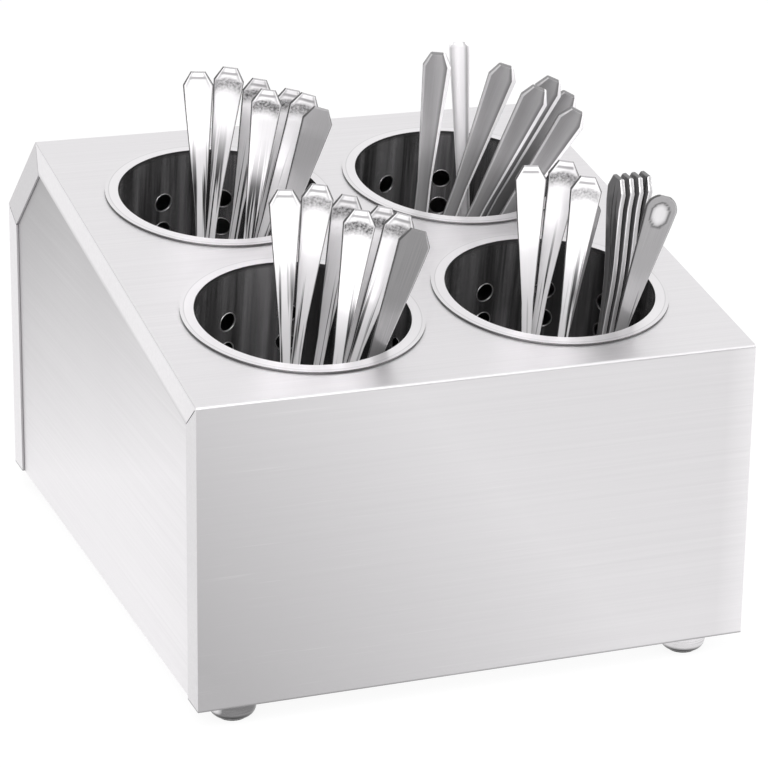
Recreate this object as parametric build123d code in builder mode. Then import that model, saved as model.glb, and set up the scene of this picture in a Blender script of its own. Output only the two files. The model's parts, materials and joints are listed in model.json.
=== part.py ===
from build123d import *
import os
from math import atan2, cos, pi, radians, sin

# Four-cylinder cutlery dispenser, with its cutlery. Millimetres, +Z up.
# The origin is on the ground below the middle of the casing. The front faces -Y,
# the sloped top rises from the front towards a ridge near the back.

# ---------------------------------------------------------------- driving dimensions

# Casing: one folded sheet (front, top, chamfer, back) between two let-in sides
casing_width = 265.0
casing_depth = 325.0
front_height = 142.0
back_height = 142.0
ridge_rise = 48.0
ridge_setback = 266.0
sheet = 1.0
fold_radius = 1.6
side_flange = 15.0
bottom_return = 12.0
mitre_gap = 0.5
sheet_gap = 0.15

# Side panels and base
side_foot_flange = 28.0
base_lip = 14.0

# Openings in the top, two across and two up the slope
column_pitch = 121.0
row_pitch = 124.0
first_row = 71.5
opening_gap = 1.0

# Cylinders that hang in the openings
cylinder_radius = 50.0
cylinder_depth = 137.0
cylinder_wall = 0.8
rim_radius = 55.5
rim_gap = 0.2
hole_radius = 4.5
holes_per_row = 10
hole_rows = 2
first_hole_row = 26.0
hole_row_pitch = 15.5
drain_holes = 4
drain_circle = 24.0
cylinder_turns = {"front_left": 6.0, "front_right": -5.0, "back_left": -2.0, "back_right": 2.0}

# Feet, each with a rubber pad below and a screw from inside
foot_height = 12.0
foot_radius = 10.8
foot_shoulder = 6.6
foot_bevel = 1.0
foot_bevel_height = 1.6
foot_waist = 7.8
foot_inset_x = 21.5
foot_inset_y = 17.8
pad_radius = 6.6
pad_thickness = 2.6
pad_standing_out = 1.4
screw_radius = 2.5
screw_head_radius = 4.6
screw_head_height = 2.8
screw_reach = 6.5
washer_radius = 6.5
washer_thickness = 0.8
screw_clearance = 0.25

# Cutlery: what every handle has
handle_width = 13.8
handle_taper = 62.0
handle_tip_flat = 7.0
handle_tip_clip = 6.5
neck_width = 4.8
cutlery_thickness = 2.0
bend_radius = 55.0
floor_gap = 0.3

# Forks
fork_length = 200.0
short_fork_length = 180.0
fork_head_width = 24.0
fork_head_length = 52.0
fork_slot_width = 2.8
fork_slot_length = 40.0
fork_tines = 4
fork_shoulder = 6.0
fork_neck = 16.0
tine_bevel = 1.5
fork_rise = 14.0
fork_low_share = 0.74
fork_bends = (0.8, -2.2, 2.2, 1.4, -1.4, 0.6)

# Spoons
spoon_length = 200.0
short_spoon_length = 189.0
bowl_width = 38.0
bowl_length = 60.0
bowl_rim = 3.2
bowl_depth = 6.6
bowl_thickness = 1.3
bowl_sides = 20
bowl_steps = ((4.6, 4.9), (5.4, 2.2))
bowl_lap = 3.0
spoon_neck = 14.0
spoon_rise = 22.0
spoon_low_share = 0.68
spoon_toe = 2.0
spoon_bends = (1.8, -1.2, 0.8)

# Knives
knife_length = 204.0
short_knife_length = 196.0
blade_length = 104.0
blade_width = 18.0
blade_thickness = 1.4
knife_neck_width = 7.0
knife_handle_width = 14.0
knife_neck_thickness = 3.0
knife_handle_thickness = 3.8
knife_shoulder = 8.0
point_radius = 10.5
belly_radius = 24.0
knife_toe = 0.3

# How each bunch leans: every piece stands in a flat layer of its cylinder.
# Each row: layer from the middle towards the back, foot across, lean to the right
bunch_turn = -20.0
spoon_bunch = [
    (-29.0, 3.5, 12.6), (-21.5, 9.0, 3.7), (-14.0, -3.5, 12.8), (-6.5, 0.5, -3.5), (1.0, -8.0, 3.2),
]
short_spoon_bunch = [(8.5, 6.5, 8.1), (16.0, -1.0, 5.5)]
back_spoons_shift = (5.0, -2.0)
knife_bunch = [
    (-20.0, -33.0, 25.8), (-14.5, -33.0, 20.0), (-9.5, -17.0, 1.0), (-4.5, -29.0, 14.0),
    (0.5, -28.5, 21.0), (8.0, 19.5, -6.3),
]
short_knife_bunch = [(13.0, -28.5, 25.0)]
fork_bunch = [(-26.0, 9.0, 10.2), (-14.0, 2.5, 2.2), (-6.5, -1.0, -4.1), (1.0, -11.5, 3.6)]
short_fork_bunch = [(8.5, 4.0, 3.0)]

# A nested stack of forks that faces left, beside the others
stack_turn = -86.0
stack_count = 4
stack_fork_length = 193.0
stack_pitch = 2.4
stack_first_layer = 25.0
stack_foot = 14.0
stack_fan = 0.7
stack_lean = -2.0

# ---------------------------------------------------------------- derived sizes

half_width = casing_width / 2
half_depth = casing_depth / 2
ground_gap = foot_height
front_top = ground_gap + front_height
ridge_top = front_top + ridge_rise
back_top = ground_gap + back_height
ridge_y = ridge_setback - half_depth
slope = atan2(ridge_rise, ridge_setback)

top_face = Plane(
    origin=(0, -half_depth, front_top), x_dir=(1, 0, 0), z_dir=(0, -sin(slope), cos(slope))
)
opening_radius = cylinder_radius + opening_gap
punch_length = 4 * cylinder_wall
floor_level = cylinder_wall - cylinder_depth + floor_gap

side_outer = half_width - sheet - sheet_gap
side_inner = side_outer - sheet
base_bottom = ground_gap + sheet + sheet_gap
base_top = base_bottom + sheet
foot_x = half_width - foot_inset_x
foot_y = half_depth - foot_inset_y
fork_toe = fork_head_width / 2

os.makedirs("parts", exist_ok=True)


def save(piece, name):
    """Names a finished piece and writes it to its own file."""
    piece.label = name
    export_step(piece, f"parts/{name}.step")


# ---------------------------------------------------------------- casing

def casing_outline(inset, below=0.0):
    """Side view of the casing, moved inwards by a distance and let down at the open bottom."""
    with BuildSketch() as outline:
        with BuildLine():
            Polyline(
                (-half_depth, ground_gap), (-half_depth, front_top), (ridge_y, ridge_top),
                (half_depth, back_top), (half_depth, ground_gap), close=True,
            )
        make_face()
        if inset > 0:
            offset(amount=-inset, kind=Kind.INTERSECTION, mode=Mode.REPLACE)
            with Locations((0, ground_gap - below)):
                Rectangle(casing_depth - 2 * inset, 2 * inset + below, align=(Align.CENTER, Align.MIN))
    return outline.sketch


def mitre_slits():
    """Thin cuts between neighbouring side flanges, along each corner of the casing."""
    corners = [(-half_depth, front_top), (ridge_y, ridge_top), (half_depth, back_top)]
    inner = casing_outline(side_flange).vertices()
    with BuildSketch() as slits:
        for corner in corners:
            outside = Vector(*corner)
            inside = Vector(*min(inner, key=lambda v: (Vector(v) - outside).length))
            start = outside + (inside - outside).normalized() * (fold_radius + sheet)
            with BuildLine():
                Line(start, inside + (inside - outside).normalized() * mitre_gap)
            trace(line_width=mitre_gap)
    return slits.sketch


with BuildPart() as wrap:
    with BuildSketch(Plane.YZ):
        add(casing_outline(0))
    extrude(amount=half_width, both=True)
    folds = wrap.edges().filter_by(Axis.X).group_by(Axis.Z)[1:]
    fillet([edge for level in folds for edge in level], radius=fold_radius)
    with BuildSketch(Plane.YZ):
        add(casing_outline(sheet, below=sheet))
    extrude(amount=half_width - sheet, both=True, mode=Mode.SUBTRACT)
    with BuildSketch(Plane.YZ):
        add(casing_outline(side_flange, below=sheet))
    extrude(amount=half_width, both=True, mode=Mode.SUBTRACT)
    with BuildSketch(Plane.YZ):
        add(mitre_slits())
    extrude(amount=half_width, both=True, mode=Mode.SUBTRACT)
    with BuildSketch(Plane.XY.offset(ground_gap)):
        with Locations((0, -half_depth + bottom_return / 2), (0, half_depth - bottom_return / 2)):
            Rectangle(2 * (side_inner - sheet_gap), bottom_return)
    extrude(amount=sheet)
    with BuildSketch(top_face):
        with Locations((0, first_row + row_pitch / 2)):
            with GridLocations(column_pitch, row_pitch, 2, 2):
                Circle(opening_radius)
    extrude(amount=-2 * sheet, mode=Mode.SUBTRACT)
save(wrap.part, "casing_wrap")

for side, name in ((-1, "left_side_panel"), (1, "right_side_panel")):
    with BuildPart() as panel:
        with BuildSketch(Plane.YZ.offset(side * side_outer)):
            add(casing_outline(sheet + sheet_gap, below=0))
        extrude(amount=-side * sheet)
        with BuildSketch(Plane.XY.offset(ground_gap)):
            with Locations((side * (side_outer - side_foot_flange / 2), 0)):
                Rectangle(side_foot_flange, casing_depth - 2 * (bottom_return + sheet_gap))
        extrude(amount=sheet)
        with Locations(*[(side * foot_x, y, ground_gap) for y in (-foot_y, foot_y)]):
            Cylinder(
                screw_radius + screw_clearance, sheet, mode=Mode.SUBTRACT,
                align=(Align.CENTER, Align.CENTER, Align.MIN),
            )
    save(panel.part, name)

with BuildPart() as base:
    base_width = 2 * (side_inner - sheet_gap)
    base_depth = casing_depth - 2 * (sheet + sheet_gap)
    with BuildSketch(Plane.XY.offset(base_bottom)):
        Rectangle(base_width, base_depth)
    extrude(amount=base_lip)
    with BuildSketch(Plane.XY.offset(base_top)):
        Rectangle(base_width, base_depth - 2 * sheet)
    extrude(amount=base_lip, mode=Mode.SUBTRACT)
    with Locations((0, 0, base_bottom)):
        with GridLocations(2 * foot_x, 2 * foot_y, 2, 2):
            Cylinder(
                screw_radius + screw_clearance, sheet, mode=Mode.SUBTRACT,
                align=(Align.CENTER, Align.CENTER, Align.MIN),
            )
save(base.part, "base_plate")

# ---------------------------------------------------------------- feet

pad_seat = pad_thickness - pad_standing_out

with BuildPart() as feet:
    with BuildSketch(Plane.XZ) as foot_section:
        with BuildLine():
            Polyline(
                (0, ground_gap), (foot_radius, ground_gap), (foot_radius, foot_shoulder),
                (foot_radius - foot_bevel, foot_shoulder - foot_bevel_height),
                (foot_waist, pad_standing_out), (0, pad_standing_out), close=True,
            )
        make_face()
    foot = revolve(axis=Axis.Z, mode=Mode.PRIVATE)
    with GridLocations(2 * foot_x, 2 * foot_y, 2, 2):
        add(foot)
    with Locations((0, 0, pad_standing_out)):
        with GridLocations(2 * foot_x, 2 * foot_y, 2, 2):
            Cylinder(
                pad_radius + sheet_gap, pad_seat + sheet_gap, mode=Mode.SUBTRACT,
                align=(Align.CENTER, Align.CENTER, Align.MIN),
            )
    with Locations((0, 0, ground_gap)):
        with GridLocations(2 * foot_x, 2 * foot_y, 2, 2):
            Cylinder(
                screw_radius + sheet_gap, screw_reach + sheet_gap, mode=Mode.SUBTRACT,
                align=(Align.CENTER, Align.CENTER, Align.MAX),
            )
save(feet.part, "feet")

with BuildPart() as pads:
    with BuildSketch():
        with GridLocations(2 * foot_x, 2 * foot_y, 2, 2):
            Circle(pad_radius)
    extrude(amount=pad_thickness)
save(pads.part, "foot_pads")

with BuildPart() as washers:
    with BuildSketch(Plane.XY.offset(base_top + sheet_gap)):
        with GridLocations(2 * foot_x, 2 * foot_y, 2, 2):
            Circle(washer_radius)
            Circle(screw_radius + screw_clearance, mode=Mode.SUBTRACT)
    extrude(amount=washer_thickness)
save(washers.part, "foot_washers")

head_bottom = base_top + 2 * sheet_gap + washer_thickness
with BuildPart() as screws:
    with BuildSketch(Plane.XY.offset(ground_gap - screw_reach)):
        with GridLocations(2 * foot_x, 2 * foot_y, 2, 2):
            Circle(screw_radius)
    extrude(amount=head_bottom - ground_gap + screw_reach)
    with BuildSketch(Plane.XY.offset(head_bottom)):
        with GridLocations(2 * foot_x, 2 * foot_y, 2, 2):
            RegularPolygon(screw_head_radius, 6)
    extrude(amount=screw_head_height)
save(screws.part, "foot_screws")

# ---------------------------------------------------------------- cylinders

def cutlery_cylinder(seat, turned_by):
    """A deep cup that hangs by its flat rim, with rows of holes and drain holes in its floor."""
    middle = cylinder_wall / 2
    with BuildPart(seat) as cylinder:
        with BuildSketch(Plane(origin=seat.origin, x_dir=seat.x_dir, z_dir=-seat.y_dir)):
            with BuildLine():
                wall_x = cylinder_radius - middle
                floor_z = middle - cylinder_depth
                Polyline((0, floor_z), (wall_x, floor_z), (wall_x, middle), (rim_radius, middle))
            trace(line_width=cylinder_wall)
        revolve(axis=Axis(seat.origin, seat.z_dir))
        for row in range(hole_rows):
            with Locations((0, 0, -first_hole_row - row * hole_row_pitch)):
                with PolarLocations(cylinder_radius, holes_per_row, start_angle=turned_by):
                    Cylinder(hole_radius, punch_length, rotation=(0, 90, 0), mode=Mode.SUBTRACT)
        with Locations((0, 0, middle - cylinder_depth)):
            with PolarLocations(drain_circle, drain_holes, start_angle=turned_by):
                Cylinder(hole_radius, punch_length, mode=Mode.SUBTRACT)
    return cylinder.part


def seat_of(column, row):
    """The plane of a cylinder's rim: column -1 left, 1 right; row 0 front, 1 back."""
    place = (column * column_pitch / 2, first_row + row * row_pitch, rim_gap)
    return Plane(
        origin=top_face.from_local_coords(place), x_dir=top_face.x_dir, z_dir=top_face.z_dir
    )


seats = {
    "front_left": seat_of(-1, 0), "front_right": seat_of(1, 0),
    "back_left": seat_of(-1, 1), "back_right": seat_of(1, 1),
}

for place, seat in seats.items():
    save(cutlery_cylinder(seat, cylinder_turns[place]), f"{place}_cylinder")

# ---------------------------------------------------------------- cutlery

def turned(plane, angles):
    """The same plane turned about its own axes."""
    return Plane(plane.location * Location((0, 0, 0), angles))


def stand(seat, turn, layer, foot, lean, toe, fan=0.0):
    """The plane of a standing piece: X across it, Y up along it, Z out of its front face."""
    bunch = turned(seat, (0, 0, turn))
    lift = toe * sin(radians(abs(lean)))
    upright = Plane(
        origin=bunch.from_local_coords((foot, layer, floor_level + lift)),
        x_dir=bunch.x_dir, z_dir=-bunch.y_dir,
    )
    return turned(turned(upright, (0, 0, -lean)), (fan, 0, 0))


def edge_plane(face):
    """The plane that shows the same piece from its edge: X out of its front, Y up along it."""
    return Plane(origin=face.origin, x_dir=face.z_dir, z_dir=-face.x_dir)


def handle_end(length, narrow, wide):
    """Right half of a handle: the narrow part's end, the widening, and the clipped corner."""
    corner = length - handle_tip_clip
    return [
        (narrow / 2, corner - handle_taper), (wide / 2, corner), (handle_tip_flat / 2, length),
        (0, length),
    ]


def bowl_block(face, wall):
    """The outside of a bowl, or its hollow when moved in by the wall: an oval cut back in steps."""
    across = bowl_width / 2 - wall
    along = bowl_length / 2 - wall
    turns = [2 * pi * step / bowl_sides for step in range(bowl_sides)]
    rim = [(across * sin(turn), bowl_length / 2 - along * cos(turn)) for turn in turns]
    with BuildPart() as block:
        with BuildSketch(face.offset(bowl_rim)):
            with BuildLine():
                Polyline(*rim, close=True)
            make_face()
        extrude(amount=wall - bowl_depth)
        for run, drop in bowl_steps:
            bottom = block.faces().sort_by(Axis(face.origin, face.z_dir))[0]
            chamfer(bottom.edges(), length=run, length2=drop, reference=bottom)
    return block.part


def spoon(face, length):
    """A round spoon: a dished bowl below, a neck, and a handle that widens to a clipped end."""
    start = bowl_length - bowl_lap
    with BuildPart() as handle:
        with BuildSketch(edge_plane(face)):
            with BuildLine():
                FilletPolyline(
                    (bowl_rim - cutlery_thickness / 2, start), (spoon_bends[0], bowl_length + spoon_rise),
                    (spoon_bends[1], length * spoon_low_share), (spoon_bends[2], length),
                    radius=bend_radius,
                )
            trace(line_width=cutlery_thickness)
        extrude(amount=handle_width, both=True)
        with BuildSketch(face):
            with BuildLine():
                Polyline(
                    (0, start), (neck_width, start), (neck_width / 2, bowl_length + spoon_neck),
                    *handle_end(length, neck_width, handle_width),
                )
                mirror(about=Plane.YZ)
            make_face()
        extrude(amount=handle_width, both=True, mode=Mode.INTERSECT)
    with BuildPart() as piece:
        add(bowl_block(face, 0))
        add(bowl_block(face, bowl_thickness), mode=Mode.SUBTRACT)
        add(handle.part)
    return piece.part


def fork(face, length):
    """A fork: curved tines below, a neck, and a handle that widens to a clipped end."""
    slot_pitch = (fork_head_width + fork_slot_width) / fork_tines
    edge = fork_head_width / 2
    with BuildPart() as piece:
        with BuildSketch(edge_plane(face)):
            with BuildLine():
                FilletPolyline(
                    (fork_bends[0], 0), (fork_bends[1], fork_head_length / 2),
                    (fork_bends[2], fork_head_length + fork_rise),
                    (fork_bends[3], fork_head_length + 3 * fork_rise),
                    (fork_bends[4], length * fork_low_share), (fork_bends[5], length),
                    radius=bend_radius,
                )
            trace(line_width=cutlery_thickness)
        extrude(amount=fork_head_width, both=True)
        with BuildSketch(face):
            with BuildLine():
                Polyline(
                    (0, 0), (edge - tine_bevel, 0), (edge, tine_bevel),
                    (edge, fork_head_length - fork_shoulder),
                    (edge - fork_shoulder / 2, fork_head_length),
                    (neck_width / 2, fork_head_length + fork_neck),
                    *handle_end(length, neck_width, handle_width),
                )
                mirror(about=Plane.YZ)
            make_face()
            with GridLocations(slot_pitch, 1, fork_tines - 1, 1):
                Rectangle(fork_slot_width, 2 * fork_slot_length, mode=Mode.SUBTRACT)
        extrude(amount=fork_head_width, both=True, mode=Mode.INTERSECT)
    return piece.part


def knife(face, length):
    """A table knife: a flat blade with a round point below, and a thicker wedge handle."""
    back = -blade_width / 2
    edge = blade_width / 2
    neck = blade_length + knife_shoulder
    half_handle = handle_end(length, knife_neck_width, knife_handle_width)[:-1]
    with BuildPart() as piece:
        with BuildSketch(edge_plane(face)):
            with BuildLine():
                Polyline(
                    (0, 0), (blade_thickness / 2, 0), (blade_thickness / 2, blade_length),
                    (knife_neck_thickness / 2, neck), (knife_handle_thickness / 2, length), (0, length),
                )
                mirror(about=Plane.YZ)
            make_face()
        extrude(amount=blade_width, both=True)
        with BuildSketch(face):
            with BuildLine():
                spine = Line((-knife_neck_width / 2, neck), (back, blade_length))
                down = Line(spine @ 1, (back, blade_width / 2))
                point = RadiusArc(down @ 1, (0, 0), -point_radius)
                belly = RadiusArc(point @ 1, (edge, blade_width), -belly_radius)
                Polyline(
                    belly @ 1, (edge, blade_length), (knife_neck_width / 2, neck), *half_handle,
                    *[(-across, along) for across, along in reversed(half_handle)], spine @ 0,
                )
            make_face()
        extrude(amount=blade_width, both=True, mode=Mode.INTERSECT)
    return piece.part


def lay_bunch(kind, name, seat, places, length, toe, first):
    """Stands one bunch in a cylinder and writes each piece, numbered from first."""
    for number, (layer, foot, lean) in enumerate(places, start=first):
        face = stand(seat, bunch_turn, layer, foot, lean, toe)
        save(kind(face, length), f"{name}_{number}")


for place, (back, across) in (("front_left", (0, 0)), ("back_left", back_spoons_shift)):
    first = 1
    for bunch, length in ((spoon_bunch, spoon_length), (short_spoon_bunch, short_spoon_length)):
        places = [(layer + back, foot + across, lean) for layer, foot, lean in bunch]
        lay_bunch(spoon, f"{place}_spoon", seats[place], places, length, spoon_toe, first)
        first += len(bunch)

knife_seat = seats["back_right"]
lay_bunch(knife, "knife", knife_seat, knife_bunch, knife_length, knife_toe, 1)
lay_bunch(knife, "knife", knife_seat, short_knife_bunch, short_knife_length, knife_toe, 1 + len(knife_bunch))

fork_seat = seats["front_right"]
lay_bunch(fork, "fork", fork_seat, fork_bunch, fork_length, fork_toe, 1)
lay_bunch(fork, "fork", fork_seat, short_fork_bunch, short_fork_length, fork_toe, 1 + len(fork_bunch))

for number in range(stack_count):
    layer = stack_first_layer + number * stack_pitch
    face = stand(fork_seat, stack_turn, layer, stack_foot, stack_lean, fork_toe, fan=-stack_fan * number)
    save(fork(face, stack_fork_length), f"stacked_fork_{1 + number}")
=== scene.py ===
# %% [markdown]
# A cutlery dispenser in Blender.
# The real object is a folded box of brushed stainless sheet. Four deep cups hang by their rims
# in its sloped top, and each holds a bunch of forks, spoons or knives.
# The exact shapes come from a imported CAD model. This lesson dresses that model: it sets up a
# studio, builds finishes out of nodes, and makes finer cutlery than the CAD solids.

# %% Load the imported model
import json
import math

import bmesh
import bpy
from mathutils import Matrix, Vector

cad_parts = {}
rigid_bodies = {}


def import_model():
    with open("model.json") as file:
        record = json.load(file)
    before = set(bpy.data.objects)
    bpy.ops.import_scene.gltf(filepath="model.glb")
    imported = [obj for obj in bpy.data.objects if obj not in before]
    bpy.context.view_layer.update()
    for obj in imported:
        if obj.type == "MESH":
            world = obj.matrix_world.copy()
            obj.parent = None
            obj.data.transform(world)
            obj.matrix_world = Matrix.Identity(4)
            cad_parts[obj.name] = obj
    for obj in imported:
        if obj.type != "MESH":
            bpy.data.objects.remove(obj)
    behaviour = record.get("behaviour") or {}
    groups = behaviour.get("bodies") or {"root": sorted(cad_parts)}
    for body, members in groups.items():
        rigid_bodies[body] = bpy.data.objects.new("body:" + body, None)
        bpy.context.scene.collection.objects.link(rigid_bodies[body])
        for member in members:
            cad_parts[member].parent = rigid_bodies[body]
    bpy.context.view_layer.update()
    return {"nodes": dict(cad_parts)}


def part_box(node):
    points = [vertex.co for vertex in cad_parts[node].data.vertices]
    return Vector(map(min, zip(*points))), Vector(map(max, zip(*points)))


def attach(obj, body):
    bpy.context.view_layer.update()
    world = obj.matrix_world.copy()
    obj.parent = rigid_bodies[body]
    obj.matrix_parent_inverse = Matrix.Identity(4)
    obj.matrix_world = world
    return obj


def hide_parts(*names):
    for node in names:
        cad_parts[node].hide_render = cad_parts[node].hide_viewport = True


for leftover in list(bpy.data.objects):
    bpy.data.objects.remove(leftover)

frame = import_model()
nodes = frame["nodes"]

# %% [markdown]
# The camera. A long lens from slightly above keeps the box's edges nearly parallel, as in a
# catalogue picture. The lens could be typed in as millimetres, but it is easier to trust when
# it comes from how many pixels wide one unit of the view is, so both are linked here.

# %% Place the camera
FRAME_PIXELS = 768
FOCAL_PIXELS = 3120.3
AXIS_PIXEL = (459.9, 335.4)
SENSOR_MM = 36.0
CAMERA_PLACE = Vector((-0.49797, -1.35340, 0.60802))
YAW, PITCH, ROLL = (math.radians(a) for a in (22.172, 18.65, 1.271))

ahead = Vector((math.sin(YAW) * math.cos(PITCH), math.cos(YAW) * math.cos(PITCH), -math.sin(PITCH)))
level_right = Vector((math.cos(YAW), -math.sin(YAW), 0))
level_up = level_right.cross(ahead)
right = math.cos(ROLL) * level_right + math.sin(ROLL) * level_up
up = math.cos(ROLL) * level_up - math.sin(ROLL) * level_right

camera_data = bpy.data.cameras.new("studio_camera")
camera_data.sensor_width = SENSOR_MM
camera_data.lens = FOCAL_PIXELS / FRAME_PIXELS * SENSOR_MM
camera_data.shift_x = (FRAME_PIXELS / 2 - AXIS_PIXEL[0]) / FRAME_PIXELS
camera_data.shift_y = (AXIS_PIXEL[1] - FRAME_PIXELS / 2) / FRAME_PIXELS
camera_data.clip_start = 0.05
camera = bpy.data.objects.new("studio_camera", camera_data)
bpy.context.collection.objects.link(camera)
camera.matrix_world = Matrix.Translation(CAMERA_PLACE) @ Matrix((right, up, -ahead)).transposed().to_4x4()
bpy.context.scene.camera = camera
print("lens", round(camera_data.lens, 1), "mm")
print("shift", round(camera_data.shift_x, 4), round(camera_data.shift_y, 4))

# %% [markdown]
# Small helpers. A finish is a chain of shader nodes. Made by hand, each node takes a line to
# make it and a line for every socket. These functions do both at once and return what the node
# puts out, so that the finishes further down read like recipes.

# %% Make and join shader nodes
def feed(tree, socket, value):
    """Joins a socket to another node's output, or sets it to a plain value."""
    if hasattr(value, "is_output"):
        tree.links.new(value, socket)
    else:
        socket.default_value = value


def add(tree, kind, sockets=None, **settings):
    """A new node. The settings are its properties, and sockets says what each input is fed."""
    node = tree.nodes.new(kind)
    for key, value in settings.items():
        setattr(node, key, value)
    for title, value in (sockets or {}).items():
        feed(tree, node.inputs[title], value)
    return node


def math_node(tree, operation, *values):
    """A Math node whose inputs are sockets or numbers. Returns its output socket."""
    return add(tree, "ShaderNodeMath", dict(enumerate(values)), operation=operation).outputs[0]


def spread(tree, value, low, high, to_low=0.0, to_high=1.0):
    """Maps a value from one range to another, clamped."""
    sockets = {"Value": value, "From Min": low, "From Max": high, "To Min": to_low, "To Max": to_high}
    return add(tree, "ShaderNodeMapRange", sockets).outputs["Result"]


print("node helpers ready")

# %% [markdown]
# The studio. Polished metal shows its surroundings, so the room matters more than the lamps.
# A white world and a white floor are what the steel reflects. Light Path tells the rays that
# look at something from the rays that only light it. The first kind meets a full white world,
# and a floor whose paint is mostly swapped for a white glow: it looks clean, and still takes
# the object's shadow.

# %% Build the world
ROOM_LIGHT = 0.55
WHITE = (1, 1, 1, 1)


def seen_directly(tree):
    """A value that is 1 for rays from the camera, from gloss and through glass, and 0 for others."""
    path = add(tree, "ShaderNodeLightPath")
    seen = path.outputs["Is Camera Ray"]
    for ray in ("Is Glossy Ray", "Is Transmission Ray"):
        seen = math_node(tree, "MAXIMUM", seen, path.outputs[ray])
    return seen


world = bpy.data.worlds.new("studio_world")
world.use_nodes = True
bpy.context.scene.world = world
tree = world.node_tree
backdrop = tree.nodes["Background"]
feed(tree, backdrop.inputs["Strength"], spread(tree, seen_directly(tree), 0, 1, ROOM_LIGHT, 1))
feed(tree, backdrop.inputs["Color"], WHITE)
print("world lights the room at", ROOM_LIGHT)

# %% Lay the floor
FLOOR_SIZE = 9.0
FLOOR_PAINT = (0.92, 0.92, 0.92, 1)
GLOW_STRENGTH = 1.05
GLOW_SHARE = 0.86


def flat_board(name, width, height):
    """A rectangle for the studio, which isn't part of the dispenser."""
    x, y = width / 2, height / 2
    mesh = bpy.data.meshes.new(name)
    mesh.from_pydata([(-x, -y, 0), (x, -y, 0), (x, y, 0), (-x, y, 0)], [], [(0, 1, 2, 3)])
    board = bpy.data.objects.new(name, mesh)
    bpy.context.collection.objects.link(board)
    return board


studio_floor = flat_board("studio_floor", FLOOR_SIZE, FLOOR_SIZE)
floor_finish = bpy.data.materials.new("studio_floor")
floor_finish.use_nodes = True
tree = floor_finish.node_tree
tree.nodes.clear()
paint = add(tree, "ShaderNodeBsdfDiffuse", {"Color": FLOOR_PAINT})
glow = add(tree, "ShaderNodeEmission", {"Color": WHITE, "Strength": GLOW_STRENGTH})
share = math_node(tree, "MULTIPLY", seen_directly(tree), GLOW_SHARE)
both_looks = {"Fac": share, 1: paint.outputs["BSDF"], 2: glow.outputs["Emission"]}
mix = add(tree, "ShaderNodeMixShader", both_looks)
add(tree, "ShaderNodeOutputMaterial", {"Surface": mix.outputs["Shader"]})
studio_floor.data.materials.append(floor_finish)
print("floor is", FLOOR_SIZE, "m wide")

# %% [markdown]
# The lamps. Large square lamps throw the soft, broad light of a studio's softboxes. Most of it
# comes from the front. The lamp overhead only lights: gloss doesn't see it, because its square
# outline would show as a bright patch in every level surface.

# %% Hang the lamps
def aim(thing, place, target):
    """Puts a lamp or a card at a place, with its face towards a target."""
    thing.location = place
    thing.rotation_euler = (Vector(target) - Vector(place)).to_track_quat("-Z", "Y").to_euler()


def soft_lamp(name, place, target, size, watts):
    """A square lamp at a place, aimed at a target."""
    data = bpy.data.lights.new(name, "AREA")
    data.shape = "SQUARE"
    data.size = size
    data.energy = watts
    lamp = bpy.data.objects.new(name, data)
    aim(lamp, place, target)
    bpy.context.collection.objects.link(lamp)
    return lamp


above = soft_lamp("lamp_above", (0.1, 0.3, 1.9), target=(0, 0, 0.1), size=1.4, watts=3)
above.visible_glossy = False
soft_lamp("lamp_front", (-0.8, -1.9, 1.9), target=(0, 0, 0.2), size=2.0, watts=68)
soft_lamp("lamp_right", (1.7, -1.0, 0.8), target=(0, 0, 0.2), size=0.9, watts=9)

# %% [markdown]
# Dark cards. In a studio, black card stands beside polished steel, so that its edges and curves
# have something dark to mirror. The cards show in reflections only: the camera doesn't see
# them, and they cast no shadow.

# %% Set up the dark cards
CARD_BLACK = (0.01, 0.01, 0.01, 1)


def dark_card(name, place, target, width, height):
    """A black card that only gloss can see."""
    card = flat_board(name, width, height)
    aim(card, place, target)
    card.visible_camera = card.visible_diffuse = card.visible_shadow = False
    black = bpy.data.materials.new(name)
    black.use_nodes = True
    black.node_tree.nodes["Principled BSDF"].inputs["Base Color"].default_value = CARD_BLACK
    card.data.materials.append(black)


dark_card("dark_card_right", (1.1, -1.5, 0.42), target=(0, 0, 0.12), width=1.5, height=0.7)
dark_card("dark_card_left", (-1.9, -0.5, 0.5), target=(0, 0, 0.2), width=0.5, height=0.9)
print("dark cards set up")

# %% [markdown]
# Effects that several finishes share. Grain, scratches and a broad ramp, which paints shade and
# reflection, turn up on most of the sheets, each time with its own direction. Each effect is a
# node group, built once with named sockets and placed in every material that needs it.

# %% Helpers for the groups
def new_group(name, inputs, outputs):
    """A shader node group: inputs are (name, type, value), and outputs are (name, type)."""
    group = bpy.data.node_groups.new(name, "ShaderNodeTree")
    for title, kind, value in inputs:
        socket = group.interface.new_socket(title, in_out="INPUT", socket_type=kind)
        socket.default_value = value
    for title, kind in outputs:
        group.interface.new_socket(title, in_out="OUTPUT", socket_type=kind)
    return group, group.nodes.new("NodeGroupInput"), group.nodes.new("NodeGroupOutput")


def noise(tree, place, detail, scale=1.0, roughness=0.5):
    """Cloudy noise from 0 to 1. Detail and roughness break it up finer."""
    sockets = {"Vector": place, "Scale": scale, "Detail": detail, "Roughness": roughness}
    return add(tree, "ShaderNodeTexNoise", sockets).outputs["Fac"]


def stretched(tree, place, scale, turn=(0, 0, 0)):
    """The place that a texture reads, turned and squeezed first. A low scale draws it out."""
    sockets = {"Vector": place, "Rotation": turn, "Scale": scale}
    return add(tree, "ShaderNodeMapping", sockets).outputs["Vector"]


print("group helpers ready")

# %% [markdown]
# Brushed grain. Sheet is brushed with an abrasive belt, which leaves fine lines that all run one
# way. Noise that is squeezed hard across the brushing, and hardly at all along it, draws such
# lines. A second, broad noise adds the clouds that wiping hands leave.

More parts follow.
